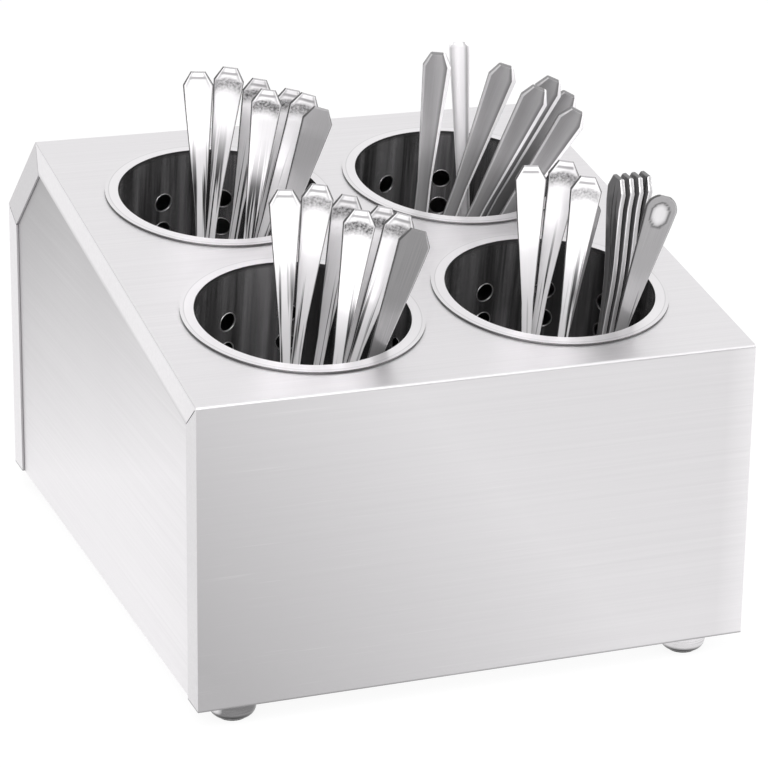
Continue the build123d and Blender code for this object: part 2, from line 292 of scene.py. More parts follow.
# %% Brushed grain
grain_group, inside, outside = new_group(
    "brushed_grain",
    inputs=[("Stretch", "NodeSocketVector", (6, 900, 900))],
    outputs=[("Streaks", "NodeSocketFloat"), ("Clouds", "NodeSocketFloat")],
)
place = add(grain_group, "ShaderNodeTexCoord").outputs["Object"]
squeeze = {0: place, 1: inside.outputs["Stretch"]}
squeezed = add(grain_group, "ShaderNodeVectorMath", squeeze, operation="MULTIPLY").outputs[0]
lines = noise(grain_group, squeezed, detail=5.0, roughness=0.65)
clouds = noise(grain_group, place, detail=3.0, scale=9.0)
feed(grain_group, outside.inputs["Streaks"], spread(grain_group, lines, 0.25, 0.75))
feed(grain_group, outside.inputs["Clouds"], spread(grain_group, clouds, 0.3, 0.7))
print("group", grain_group.name)

# %% [markdown]
# Fine scratches. Use leaves a few hairlines that cross the brushing. Two layers of long thin
# noise, turned different ways, are cut off so high that only their peaks remain.

# %% Fine scratches
HAIR_SCALE = (25, 900, 900)
HAIR_TURNS = ((0.3, 0.2, 0.5), (1.1, 0.7, 2.1))

scratch_group, inside, outside = new_group(
    "fine_scratches",
    inputs=[("Amount", "NodeSocketFloat", 0.5)],
    outputs=[("Scratches", "NodeSocketFloat")],
)
place = add(scratch_group, "ShaderNodeTexCoord").outputs["Object"]
layers = []
for turn in HAIR_TURNS:
    hairs = noise(scratch_group, stretched(scratch_group, place, HAIR_SCALE, turn), detail=1.0)
    layers.append(spread(scratch_group, hairs, 0.68, 0.80))
both = math_node(scratch_group, "MAXIMUM", *layers)
amount = math_node(scratch_group, "MULTIPLY", both, inside.outputs["Amount"])
feed(scratch_group, outside.inputs["Scratches"], amount)
print("group", scratch_group.name, "has", len(layers), "layers")

# %% [markdown]
# Broad tone. A ramp that goes slowly from light to dark across a sheet. It paints shade and
# reflection into the colour, and also serves as a plain mask. A dot product of the place with a
# direction is a ramp across the sheet. A short direction makes it broad, and one of a few
# hundred makes it a soft edge a few millimetres wide.

# %% Broad tone of a sheet
tone_group, inside, outside = new_group(
    "sheet_tone",
    inputs=[("Direction", "NodeSocketVector", (1, 0, 0)), ("Start", "NodeSocketFloat", 0.5)],
    outputs=[("Tone", "NodeSocketFloat")],
)
place = add(tone_group, "ShaderNodeTexCoord").outputs["Object"]
across = {0: place, 1: inside.outputs["Direction"]}
along = add(tone_group, "ShaderNodeVectorMath", across, operation="DOT_PRODUCT").outputs["Value"]
moved = math_node(tone_group, "ADD", along, inside.outputs["Start"])
feed(tone_group, outside.inputs["Tone"], spread(tone_group, moved, 0, 1))
print("group", tone_group.name)

# %% [markdown]
# What every finish is made of. Each one is a Principled shader, because that shader covers
# steel and rubber alike and exports well. These helpers place the groups, mix greys by masks,
# and join the result to the shader.

# %% Colours and shaders
def grey(level):
    """A steel grey with the slight violet cast of studio light."""
    return (level, level * 0.982, level)


def new_material(name, metallic):
    """A material with a plain shader. Returns it with its tree and its shader."""
    material = bpy.data.materials.new(name)
    material.use_nodes = True
    shader = material.node_tree.nodes["Principled BSDF"]
    shader.inputs["Metallic"].default_value = metallic
    return material, material.node_tree, shader


def blend(tree, mask, first, second):
    """The first colour where the mask is 0 and the second where it is 1."""
    mix = add(tree, "ShaderNodeMix", {"Factor": mask}, data_type="RGBA")
    for title, value in (("A", first), ("B", second)):
        feed(tree, mix.inputs[title], value if hasattr(value, "is_output") else (*value, 1))
    return mix.outputs["Result"]


def tinged(tree, mask, share, colour, tinge):
    """A colour that takes up to a share of another where the mask is 1."""
    return blend(tree, spread(tree, mask, 0, 1, 0, share), colour, tinge)


print("a middle grey is", grey(0.5))

# %% Masks
def grain_of(tree, stretch):
    """The brushed grain, drawn out along one axis: its Streaks and its Clouds."""
    return add(tree, "ShaderNodeGroup", {"Stretch": stretch}, node_tree=grain_group).outputs


def tone_of(tree, direction, start):
    """The broad ramp along a direction, from 0 to 1, for painted shade and reflection or as a mask."""
    sockets = {"Direction": direction, "Start": start}
    return add(tree, "ShaderNodeGroup", sockets, node_tree=tone_group).outputs["Tone"]


def facing(tree, direction, low, high):
    """1 where a surface faces a direction, and 0 where it faces away."""
    normal = add(tree, "ShaderNodeNewGeometry").outputs["Normal"]
    toward = add(tree, "ShaderNodeVectorMath", {0: normal, 1: direction}, operation="DOT_PRODUCT")
    return spread(tree, toward.outputs["Value"], low, high)


def axes_of(tree, vector):
    """The X, Y and Z of a vector."""
    return add(tree, "ShaderNodeSeparateXYZ", {0: vector}).outputs


print("masks ready")

# %% Relief and wear
SCRATCH_AMOUNT = 0.10
CLOUD_WEAR, STREAK_WEAR = 0.08, 0.10
GRAIN_HEIGHT = 0.0002


def raise_ridges(tree, shader, height, strength, distance):
    """Fine relief: the shader's normal leans as if the height were real."""
    sockets = {"Height": height, "Strength": strength, "Distance": distance}
    feed(tree, shader.inputs["Normal"], add(tree, "ShaderNodeBump", sockets).outputs["Normal"])


def finish_surface(tree, shader, colour, grain, roughness, bump):
    """Joins a colour, grain lines and scratches to a shader. The roughness given is its middle."""
    scratched = {"Amount": SCRATCH_AMOUNT}
    scratches = add(tree, "ShaderNodeGroup", scratched, node_tree=scratch_group).outputs["Scratches"]
    feed(tree, shader.inputs["Base Color"], blend(tree, scratches, colour, grey(0.9)))
    smoothest = roughness - (CLOUD_WEAR + STREAK_WEAR) / 2
    lined = math_node(tree, "MULTIPLY_ADD", grain["Streaks"], STREAK_WEAR, smoothest)
    worn = math_node(tree, "MULTIPLY", grain["Clouds"], CLOUD_WEAR)
    feed(tree, shader.inputs["Roughness"], math_node(tree, "ADD", worn, lined))
    height = math_node(tree, "SUBTRACT", grain["Streaks"], scratches)
    raise_ridges(tree, shader, height, bump, GRAIN_HEIGHT)


print("relief and wear ready")

# %% [markdown]
# The casing's outline. The wrap is one folded sheet: it goes up the front, up the long slope to
# the crest, down the short slope and down the rear, and turns in under the box at both ends.
# Masks that change at those folds need to know where they are, so the outline is written once,
# in millimetres.

# %% Where the casing bends
MM = 0.001
FRONT, CREST, REAR = -162.5, 103.5, 162.5
LOW, SHOULDER, TOP = 12, 154, 202
CORNERS = ((FRONT, LOW), (FRONT, SHOULDER), (CREST, TOP), (REAR, SHOULDER), (REAR, LOW))
OUTLINE = [Vector((0, y, z)) for y, z in CORNERS]
TOP_FRONT_EDGE = OUTLINE[1]
SLOPE = math.atan2(TOP - SHOULDER, CREST - FRONT)
UPHILL = Vector((0, math.cos(SLOPE), math.sin(SLOPE)))
OUTWARD = Vector((0, -math.sin(SLOPE), math.cos(SLOPE)))
TOP_LEVEL = TOP_FRONT_EDGE.dot(OUTWARD)


def past_corner(tree, number):
    """0 before a corner of the outline and 1 after it, split along the mitre within 1 mm."""
    before, corner, after = OUTLINE[number - 1:number + 2]
    across = ((corner - before).normalized() + (after - corner).normalized()).normalized() / MM
    return tone_of(tree, tuple(across), 0.5 - across.dot(corner) * MM)


def over_slope(tree, zero_at, one_at):
    """0 at one height over the long slope, in millimetres, and 1 at another."""
    per_metre = 1 / ((one_at - zero_at) * MM)
    return tone_of(tree, tuple(OUTWARD * per_metre), -(TOP_LEVEL + zero_at) * MM * per_metre)


print("the top slopes at", round(math.degrees(SLOPE), 1), "degrees")

# %% [markdown]
# Side flanges. The wrap's edges are folded down over the side panels as a narrow strip. Beside
# the long slope the strip is painted bright, a painted reflection of the bright room, with a soft
# line of painted shade where it is folded and another along its lower edge. It is painted greyer
# down the front and beside the short slope, and each change follows the mitre in the corner.
# The lines are given as heights over the long slope.

# %% Tones of the side flanges
LOWER_SHADE_LINE, FOLD_SHADE_LINE = (-12.43, -15.13), (-1.375, -0.125)
SHADE_LINE_SHARE = 0.5


def flange_steel(tree):
    """The strip's painted reflection and shade: a grey that changes at every corner that it goes round.
    """
    # Painted shade: soft dark lines at the fold and along the strip's lower edge.
    lines = math_node(tree, "MAXIMUM", over_slope(tree, *LOWER_SHADE_LINE), over_slope(tree, *FOLD_SHADE_LINE))
    darker = math_node(tree, "MULTIPLY", lines, SHADE_LINE_SHARE)
    beside_top = blend(tree, darker, grey(0.88), grey(0.40))
    # Painted reflection: each stretch of the strip gets its own grey, split at the mitres.
    rear = blend(tree, past_corner(tree, 3), grey(0.66), grey(0.86))
    after_front = blend(tree, past_corner(tree, 2), beside_top, rear)
    return blend(tree, past_corner(tree, 1), grey(0.77), after_front)


print("flange tones written")

# %% [markdown]
# Casing steel. The wrap is brushed along its width. The top faces the lamps, so a mask from the
# surface's own direction gives it a painted grey of its own, which keeps it even. The front has
# painted shade towards its lower left, a painted highlight along the fold on its right, and
# painted shade at its foot, where the sheet turns under.

# %% Casing finish
ALONG_WIDTH = (5, 700, 700)
FRONT_PAINTED_SHADE = ((5.2, 0, 4.4), 0.526)
MOSTLY = (0.4, 0.7)
RIGHT_FOLD_PAINTED_HIGHLIGHT = (119 * MM, 132.5 * MM)
WRAP_FOOT_PAINTED_SHADE = (12.2 * MM, 12.9 * MM)


def casing_steel():
    """Brushed steel for the wrap: a top with its own painted grey, flanges with painted reflection and
    shade, and a front with painted shade and a painted highlight.
    """
    material, tree, shader = new_material("brushed_casing", metallic=1.0)
    grain = grain_of(tree, ALONG_WIDTH)
    surface = add(tree, "ShaderNodeTexCoord")
    place, normal = (axes_of(tree, surface.outputs[title]) for title in ("Object", "Normal"))
    upward = spread(tree, normal["Z"], *MOSTLY)
    sideways = spread(tree, math_node(tree, "ABSOLUTE", normal["X"]), *MOSTLY)
    # Painted shade: the front darkens towards its lower left.
    front = blend(tree, tone_of(tree, *FRONT_PAINTED_SHADE), grey(0.435), grey(0.745))
    # Painted highlight along the fold on the right of the front.
    folded = blend(tree, spread(tree, place["X"], *RIGHT_FOLD_PAINTED_HIGHLIGHT, 0, 0.85), front, grey(0.88))
    flanged = blend(tree, sideways, folded, flange_steel(tree))
    # Painted shade at the foot of the wrap, where the sheet turns under.
    edged = blend(tree, spread(tree, place["Z"], *WRAP_FOOT_PAINTED_SHADE, 0.8, 0), flanged, grey(0.2))
    # The top's own grey is painted by which way it faces, to set how bright it looks.
    tone = blend(tree, upward, edged, grey(0.80))
    lined = tinged(tree, grain["Streaks"], 0.16, tone, grey(0.5))
    cloudy = tinged(tree, grain["Clouds"], 0.06, lined, grey(0.55))
    finish_surface(tree, shader, cloudy, grain, roughness=0.40, bump=0.10)
    return material


casing_finish = casing_steel()
print("finish", casing_finish.name)

# %% [markdown]
# Side panel steel. The sides are separate panels, brushed from front to rear. Their colour holds
# a painted reflection of the floor low down and the darker room higher up, so the tone falls
# towards the upper rear.

# %% Side panel finish
ALONG_DEPTH = (700, 5, 700)
PANEL_PAINTED_REFLECTION = ((0, -2.0, -5.5), 1.35)


def panel_steel():
    """Brushed steel for the side panels, with a painted reflection: darker towards the upper rear."""
    material, tree, shader = new_material("brushed_panel", metallic=1.0)
    grain = grain_of(tree, ALONG_DEPTH)
    # Painted reflection: darker towards the upper rear.
    tone = blend(tree, tone_of(tree, *PANEL_PAINTED_REFLECTION), grey(0.33), grey(0.87))
    lined = tinged(tree, grain["Streaks"], 0.12, tone, grey(0.5))
    finish_surface(tree, shader, lined, grain, roughness=0.42, bump=0.10)
    return material


panel_finish = panel_steel()
print("finish", panel_finish.name)

# %% [markdown]
# Places on the sloping top. The four cups stand in two rows of two. A ring on all four rims, such
# as a turned groove, needs the distance from the nearest cup's middle. Folding the top about
# its two middle lines lays the cups on one another, so one formula serves them all.

# %% Distance from the middle of a cup
FIRST_ROW, ROW_PITCH = 71.5, 124
COLUMN_REACH = 60.5


def radius_on_top(tree, levelled):
    """Distance from the nearest cup's middle, in metres, once the slope is turned level."""
    place = axes_of(tree, levelled)
    middle_line = (TOP_FRONT_EDGE.dot(UPHILL) + FIRST_ROW + ROW_PITCH / 2) * MM
    from_middle = math_node(tree, "ABSOLUTE", math_node(tree, "SUBTRACT", place["Y"], middle_line))
    uphill = math_node(tree, "SUBTRACT", from_middle, ROW_PITCH / 2 * MM)
    across = math_node(tree, "ABSOLUTE", place["X"])
    across = math_node(tree, "SUBTRACT", across, COLUMN_REACH * MM)
    flat = add(tree, "ShaderNodeCombineXYZ", {"X": across, "Y": uphill}).outputs["Vector"]
    return add(tree, "ShaderNodeVectorMath", {0: flat}, operation="LENGTH").outputs["Value"]


print("cups are", ROW_PITCH, "mm apart up the slope and", 2 * COLUMN_REACH, "mm across it")

# %% [markdown]
# Cup steel. A drawn cup is bright on its rim, which is polished flat and has a fine turned
# groove. Inside, the wall is painted dark, as painted shade and a painted reflection of its own
# far wall, and so is the cup's floor. Long streaks run down the wall: their relief is from
# drawing the sheet, and their light and dark bands in the colour are painted reflection. The
# rim's edges get painted shade. One material does both: the height over the slope tells rim
# from wall.

# %% Cup finish
GROOVE_RADIUS, GROOVE_HALF_WIDTH = 53.7, 0.35
RIM_BAND = (53.5 * MM, 53.9 * MM)
RIM_STARTS, RIM_IS_FULL = -1.8, 0.2
DOWN_THE_WALL = (70, 70, 2.2)


def cup_steel():
    """Bright on the rim, with a fine turned groove; inside, painted shade and painted reflection streaks
    down the wall.
    """
    material, tree, shader = new_material("drawn_cup", metallic=0.78)
    tilted = {"Vector": add(tree, "ShaderNodeTexCoord").outputs["Object"], "Angle": -SLOPE}
    level = add(tree, "ShaderNodeVectorRotate", tilted, rotation_type="X_AXIS").outputs["Vector"]
    streaks = noise(tree, stretched(tree, level, DOWN_THE_WALL), detail=6.0, roughness=0.7)
    painted_reflection_bands = spread(tree, streaks, 0.44, 0.72)
    # Painted shade and reflection inside the cup: a dark wall with light and dark bands, and a dark
    # floor.
    wall = blend(tree, painted_reflection_bands, grey(0.10), grey(0.72))
    floor = blend(tree, painted_reflection_bands, grey(0.26), grey(0.36))
    radius = radius_on_top(tree, level)
    from_groove = math_node(tree, "SUBTRACT", radius, GROOVE_RADIUS * MM)
    from_groove = math_node(tree, "ABSOLUTE", from_groove)
    groove = spread(tree, from_groove, 0, GROOVE_HALF_WIDTH * MM, 1, 0)
    rim_steel = blend(tree, spread(tree, radius, *RIM_BAND), grey(0.79), grey(0.75))
    rim_top = blend(tree, groove, rim_steel, grey(0.58))
    level_face = facing(tree, tuple(OUTWARD), 0.3, 0.8)
    painted_shade_inside = blend(tree, level_face, wall, floor)
    # Painted shade on the rim's edges, where they don't face up.
    rim_with_painted_edge_shade = blend(tree, level_face, grey(0.12), rim_top)
    rim = over_slope(tree, RIM_STARTS, RIM_IS_FULL)
    feed(tree, shader.inputs["Base Color"], blend(tree, rim, painted_shade_inside, rim_with_painted_edge_shade))
    feed(tree, shader.inputs["Roughness"], spread(tree, rim, 0, 1, 0.17, 0.34))
    raise_ridges(tree, shader, streaks, strength=0.12, distance=0.0004)
    return material


cup_finish = cup_steel()
print("finish", cup_finish.name)

# %% [markdown]
# Foot steel. The feet, washers and screws are turned, which leaves fine rings, so this grain is
# squeezed along the upright axis. The two right feet stand in the open and get a bright grey, a
# painted reflection of the floor. The left two get a dark grey of painted shade, with a painted
# glint down their left side. All of them get painted shade at their lower edge, which curves in
# over its own shadow.

# %% Foot finish
ROUND_THE_FOOT = (60, 60, 1800)
RIGHT_FEET_PAINTED_REFLECTION = ((40, 0, 0), 0)
FOOT_BASE_PAINTED_SHADE = ((0, 0, 600), -1.55)
PAINTED_GLINT_DIRECTION = (-0.907, -0.42, 0)


def foot_steel():
    """Turned steel for the feet, washers and screws: fine rings, painted shade and reflection, and a
    painted glint.
    """
    material, tree, shader = new_material("turned_foot", metallic=0.85)
    grain = grain_of(tree, ROUND_THE_FOOT)
    # Painted shade: the left feet's dark grey. Painted reflection of the floor: the right feet's bright
    # grey.
    shaded = blend(tree, grain["Streaks"], grey(0.16), grey(0.27))
    bright = blend(tree, grain["Streaks"], grey(0.55), grey(0.85))
    turned = blend(tree, tone_of(tree, *RIGHT_FEET_PAINTED_REFLECTION), shaded, bright)
    # A painted glint down the left side of the feet.
    lit = blend(tree, facing(tree, PAINTED_GLINT_DIRECTION, 0.92, 0.985), turned, grey(0.75))
    # Painted shade at the lower edge of every foot.
    tone = blend(tree, tone_of(tree, *FOOT_BASE_PAINTED_SHADE), grey(0.03), lit)
    finish_surface(tree, shader, tone, grain, roughness=0.2, bump=0.1)
    return material


foot_finish = foot_steel()
print("finish", foot_finish.name)

# %% [markdown]
# Pad rubber. The pads under the feet are moulded in black rubber, which is matt and picks up
# dust. It isn't metal, so the metallic value is 0. The grain group serves here too: stretched
# alike in all directions it is a fine speckle, and its clouds are the dust.

# %% Pad finish
ALL_WAYS = (240, 240, 240)
CLEAN_RUBBER, DUSTY_RUBBER = (0.022, 0.022, 0.024), (0.06, 0.058, 0.06)


def pad_rubber():
    """Dark rubber for the pads under the feet, with a dusty bloom."""
    material, tree, shader = new_material("dusty_pad", metallic=0.0)
    grain = grain_of(tree, ALL_WAYS)
    feed(tree, shader.inputs["Base Color"], blend(tree, grain["Clouds"], CLEAN_RUBBER, DUSTY_RUBBER))
    feed(tree, shader.inputs["Roughness"], spread(tree, grain["Streaks"], 0, 1, 0.62, 0.85))
    raise_ridges(tree, shader, grain["Streaks"], strength=0.25, distance=0.0003)
    return material


pad_finish = pad_rubber()
print("finish", pad_finish.name)

# %% [markdown]
# Cutlery steel. A polished handle mirrors bright floor and dark gaps in hard-edged patches. Here
# the patches are painted reflection in the colour, and they follow the shape: dark along the
# edges, a cloudy spot where the end is dished, and long streaks lower down. A texture can't know
# the shape, so each piece carries values on its points that say how much painted reflection it
# has there: how dark, how spotted and how streaked. The streaks themselves follow a map laid
# along the handle in millimetres.

# %% The cutlery finish
PAINTED_MARKS = ("shade", "spot", "streaked")
MAP_NAME = "along_piece"
LONG_STREAKS, HAIRS, MOTTLE = (0.5, 0.010, 1), (5.0, 0.03, 1), (0.8, 0.8, 1)
BRIGHTEST, DARKEST = grey(0.97), grey(0.03)


def cutlery_steel(name, metallic, roughness, streak_strength, hair_strength):
    """Polished or satin steel whose darkness is painted reflection, set by the values and streaks along
    the piece.
    """
    material, tree, shader = new_material(name, metallic)
    shade, spot, streaked = (
        add(tree, "ShaderNodeAttribute", attribute_name=title).outputs["Fac"] for title in PAINTED_MARKS
    )
    along = add(tree, "ShaderNodeUVMap", uv_map=MAP_NAME).outputs["UV"]
    long_streaks = spread(tree, noise(tree, stretched(tree, along, LONG_STREAKS), 2.0), 0.55, 0.62)
    hairs = spread(tree, noise(tree, stretched(tree, along, HAIRS), 3.0), 0.35, 0.75)
    mottle = spread(tree, noise(tree, stretched(tree, along, MOTTLE), 5.0), 0.3, 0.7)
    speckled = math_node(tree, "MULTIPLY", spot, spread(tree, mottle, 0, 1, 0.6, 1.3))
    patches = math_node(tree, "MAXIMUM", shade, speckled)
    streaks = math_node(tree, "MULTIPLY", long_streaks, streaked)
    streaks = math_node(tree, "MULTIPLY", streaks, streak_strength)
    fine = math_node(tree, "MULTIPLY", hairs, hair_strength)
    dark = math_node(tree, "ADD", math_node(tree, "MAXIMUM", patches, streaks), fine)
    dark.node.use_clamp = True
    # The colour is painted reflection: dark patches, spots and streaks, with fine hairlines.
    feed(tree, shader.inputs["Base Color"], blend(tree, dark, BRIGHTEST, DARKEST))
    feed(tree, shader.inputs["Roughness"], spread(tree, mottle, 0, 1, roughness, roughness + 0.05))
    raise_ridges(tree, shader, hairs, strength=0.05, distance=0.0002)
    return material


cutlery_finish = cutlery_steel("polished_cutlery", 0.18, 0.2, streak_strength=0.95, hair_strength=0.05)
knife_finish = cutlery_steel("satin_knife", 0.3, 0.34, streak_strength=0.35, hair_strength=0.04)
print("finishes", cutlery_finish.name, knife_finish.name)

# %% [markdown]
# The CAD nodes that stay. Casing, panels, cups, base, washers, screws and pads have the right
# shape already, so each only gets its finish. The names tell which one it is. The feet and the
# cutlery get theirs too, though finer pieces take their place further down.

# %% Finishes on the CAD nodes
TURNED_NODES = ("feet", "foot_washers", "foot_screws")


def finish_of(name):
    """The finish that a node's name asks for."""
    if "cylinder" in name:
        return cup_finish
    if "spoon" in name or "fork" in name or "knife" in name:
        return cutlery_finish
    if "side_panel" in name:
        return panel_finish
    if name == "foot_pads":
        return pad_finish
    return foot_finish if name in TURNED_NODES else casing_finish


for name, node in nodes.items():
    for slot in node.material_slots:
        slot.material = finish_of(name)
print("finishes set on", len(nodes), "nodes")

# %% [markdown]
# Where the cutlery stands. Every piece is modelled lying flat and is then stood up in its cup.
# A matrix does that: it starts at the middle of the cup's rim, turns to the bunch's direction,
# goes down to the cup's floor, and leans the piece over.

# %% Where the cups hang and how a piece stands in one
CUP_FLOOR = -135.9
RIM_PROUD = 0.2


def seat(column, row):
    """The frame of a cup's rim, in millimetres: column -1 left, 1 right, row 0 front, 1 back."""
    up_slope = UPHILL * (FIRST_ROW + ROW_PITCH * row)
    place = TOP_FRONT_EDGE + up_slope + OUTWARD * RIM_PROUD + Vector((COLUMN_REACH * column, 0, 0))
    return Matrix.Translation(place) @ Matrix((Vector((1, 0, 0)), UPHILL, OUTWARD)).transposed().to_4x4()


def standing(rim, turn, layer, foot, lean, toe, fan=0.0):
    """The frame of a standing piece: X across it, Y along it from its lower end, Z out of its face.
    toe is how far its lower end reaches to the side, which lifts a leaning piece."""
    turn, lean, fan = (math.radians(a) for a in (turn, lean, fan))
    lift = toe * math.sin(abs(lean))
    at_foot = rim @ Matrix.Rotation(turn, 4, "Z") @ Matrix.Translation((foot, layer, CUP_FLOOR + lift))
    upright = at_foot @ Matrix.Rotation(math.pi / 2, 4, "X")
    return upright @ Matrix.Rotation(-lean, 4, "Z") @ Matrix.Rotation(fan, 4, "X")


print("front left rim at", [round(v, 1) for v in seat(-1, 0).translation])

# %% [markdown]
# The cutlery's build. Real forks and spoons are pressed from sheet: a thin plate whose outline,
# bend and thickness change along its length. A grid does this well: rows run along the piece,
# columns across it, and small functions give the edge, the bend and the thickness at each point.
# Cells that are left out of the grid become the gaps between a fork's tines.

# %% Small tools for shapes
def new_piece(name, points, quads, finish):
    """A smooth mesh object from points and faces."""
    mesh = bpy.data.meshes.new(name)
    mesh.from_pydata(points, [], quads)
    mesh.shade_smooth()
    mesh.materials.append(finish)
    piece = bpy.data.objects.new(name, mesh)
    bpy.context.collection.objects.link(piece)
    return piece


def line_through(points, at):
    """Height of a bent line at a place, with its corners rounded off by averaging."""
    def straight(y):
        for (y0, z0), (y1, z1) in zip(points, points[1:]):
            if y <= y1:
                return z0 + (z1 - z0) * max(0.0, y - y0) / (y1 - y0)
        return points[-1][1]
    return sum(straight(at + shift) for shift in (-9, -4.5, 0, 4.5, 9)) / 5


def ramp(value, low, high):
    """0 below low, 1 above high, and smooth between."""
    t = min(1.0, max(0.0, (value - low) / (high - low)))
    return t * t * (3 - 2 * t)


def both_sides(half):
    """Grid columns that are alike on both sides of the middle."""
    return [-u for u in reversed(half)] + [0] + half


print("halfway up a ramp is", ramp(0.5, 0, 1))

# %% The faces of a grid
def grid_quads(rows, columns, index, empty):
    """Faces over a grid's top and underside, with walls wherever a cell has no neighbour."""
    full = {(i, j) for i in range(len(rows) - 1) for j in range(len(columns) - 1)
            if not (empty and empty(rows[i + 1], columns[j], columns[j + 1]))}
    quads = []
    for i, j in sorted(full):
        ring = [(i, j), (i, j + 1), (i + 1, j + 1), (i + 1, j)]
        quads.append([index["top", *p] for p in ring])
        quads.append([index["underside", *p] for p in reversed(ring)])
        sides = zip(ring, ring[1:] + ring[:1])
        neighbours = ((i - 1, j), (i, j + 1), (i + 1, j), (i, j - 1))
        for (a, b), beside in zip(sides, neighbours):
            if beside not in full:
                wall = (("top", *b), ("top", *a), ("underside", *a), ("underside", *b))
                quads.append([index[corner] for corner in wall])
    return quads


corners = [(side, i, j) for side in ("top", "underside") for i in (0, 1) for j in (0, 1)]
one_cell = grid_quads([0, 1], [0, 1], {corner: n for n, corner in enumerate(corners)}, None)
print("a grid of one cell has", len(one_cell), "faces")

# %% The plate that every piece is made of
CREASE_ANGLE = math.radians(38)


def plate(name, frame_mm, rows, columns, edges, faces, marks, finish, empty=None):
    """A closed thin piece over a grid.
    edges(y) gives its left and right, faces(u, y) its top and underside, and marks(u, y) its
    painted reflection: how dark, how spotted and how streaked it is. empty(y, u0, u1) tells the
    cells that are left out."""
    points, flat, index = [], [], {}
    values = {title: [] for title in PAINTED_MARKS}
    own_streaks = 37 * sum(map(ord, name)) % 1009  # a place of its own in the streak texture
    for i, y in enumerate(rows):
        left, right_edge = edges(y)
        for j, u in enumerate(columns):
            x = left + (right_edge - left) * (u + 1) / 2
            for side, z in zip(("top", "underside"), faces(u, y)):
                index[side, i, j] = len(points)
                points.append(frame_mm @ Vector((x, y, z)) * MM)
                flat.append((x + own_streaks, y))
                for title, value in zip(PAINTED_MARKS, marks(u, y)):
                    values[title].append(value)
    quads = grid_quads(rows, columns, index, empty)
    used = sorted({n for quad in quads for n in quad})
    fresh = {old: new for new, old in enumerate(used)}
    quads = [[fresh[n] for n in quad] for quad in quads]
    piece = new_piece(name, [points[n] for n in used], quads, finish)
    mesh = piece.data
    mesh.set_sharp_from_angle(angle=CREASE_ANGLE)
    for title in PAINTED_MARKS:
        layer = mesh.attributes.new(title, "FLOAT", "POINT")
        layer.data.foreach_set("value", [values[title][n] for n in used])
    along = mesh.uv_layers.new(name=MAP_NAME)
    for loop in mesh.loops:
        along.data[loop.index].uv = flat[used[loop.vertex_index]]
    return piece


print("edges sharper than", round(math.degrees(CREASE_ANGLE)), "degrees stay crisp")

# %% [markdown]
# The handle. Forks, spoons and knives of one set share a handle: narrow at the neck, wider to
# the end, and clipped, round or square at the tip. Its rows lie closer together towards the
# tip, where the outline turns and the fine lines of the bevel run.

# %% The outline of a handle
HANDLE_COLUMNS = both_sides([0.25, 0.5, 0.76, 0.86, 0.94, 1])
TIP_ROWS = [*range(-16, -7), -7.2, -6.5, -5.5, -4.5, -3.6, -2.8, -2.1, -1.6, -1.1, -0.6, -0.3, 0]
TIP_LENGTH, CLIPPED_HALF = 6.5, 3.5
NECK_HALF, END_HALF = 2.4, 7.2
WIDE_ROWS_FROM, WIDE_ROW = 68.5, 9
BEVEL, LAST_ROW = 0.4, 0.2


def handle_rows(length):
    """The grid rows of the upper half of a handle."""
    return [length - WIDE_ROWS_FROM + WIDE_ROW * k for k in range(6)] + [length + t for t in TIP_ROWS]


def handle_half(y, length, narrow=NECK_HALF, wide=END_HALF, end="clipped", taper=68):
    """Half the width of a handle that widens to its end."""
    corner = length - TIP_LENGTH
    if y < corner - taper:
        return narrow
    if y < corner:
        return narrow + (wide - narrow) * (y - corner + taper) / taper
    t = (y - corner) / TIP_LENGTH
    if end == "round":
        return wide * math.sqrt(1 - 0.9 * t * t)
    if end == "square":
        return wide - 1.6 * max(0.0, (t - 0.72) / 0.28) ** 2
    return wide + (CLIPPED_HALF - wide) * t


print("handle width at the end", 2 * handle_half(190, 200))

# %% [markdown]
# The painted reflection on a handle. u runs from -1 at the left edge to 1 at the right, and below
# is the distance from the tip. Steps in the value paint the hard-edged lines of a bevel's
# reflection, and ramps paint the soft ones of a dished face. Handles that are nested in one
# another mirror dark gaps all over, so their faces get a painted shade above DARK_FACE, and only
# their thin edges keep a painted highlight.

# %% How dark a handle is painted
DARK_FACE = 0.85
EDGE, OUTERMOST = 0.93, 0.99
SPOT_STARTS, SPOT_FADES = (3.4, 5.6), (7.5, 13.5)
STREAKS_START = (22, 60)


def painted_tip_lines(u, below):
    """Painted reflection: fine dark lines that run round the end, inside its bevelled edge."""
    if below < 0.25:
        return 0.6
    if 2.0 < below < 2.9 and abs(u) < 0.8:
        return 0.6
    if 0.8 > abs(u) > 0.7:
        return 0.45 * (1 - ramp(below, 4, 12))
    return 0.0


def painted_tip_spot(u, below, spot):
    """A dished end's painted reflection: a dark arch under the tip that fades down the handle."""
    down = below - 2.2 * u * u
    return spot * ramp(down, *SPOT_STARTS) * (1 - ramp(down, *SPOT_FADES))


def painted_handle_marks(u, y, length, spot, face_shade):
    """How much painted reflection a handle has at a point: how dark, how spotted, and how streaked."""
    below = length - y
    outermost = abs(u) > OUTERMOST
    if abs(u) > EDGE:
        if face_shade > DARK_FACE:
            return (0.55 if outermost else 0.05), 0.0, 0.0
        return (0.95 if u < 0 or outermost else 0.6), 0.0, 0.0
    streaked = 1.0 if face_shade > DARK_FACE else ramp(below, *STREAKS_START)
    return max(face_shade, painted_tip_lines(u, below)), painted_tip_spot(u, below, spot), streaked


print("a spot is darkest", round(painted_tip_spot(0, 6.5, 1.0), 2), "at 6.5 mm from the tip")

# %% [markdown]
# Spoons. The bowl is an oval that dips towards its middle, and the handle rises out of it. The
# two are one plate, so the neck flows out of the bowl's rim with no seam.

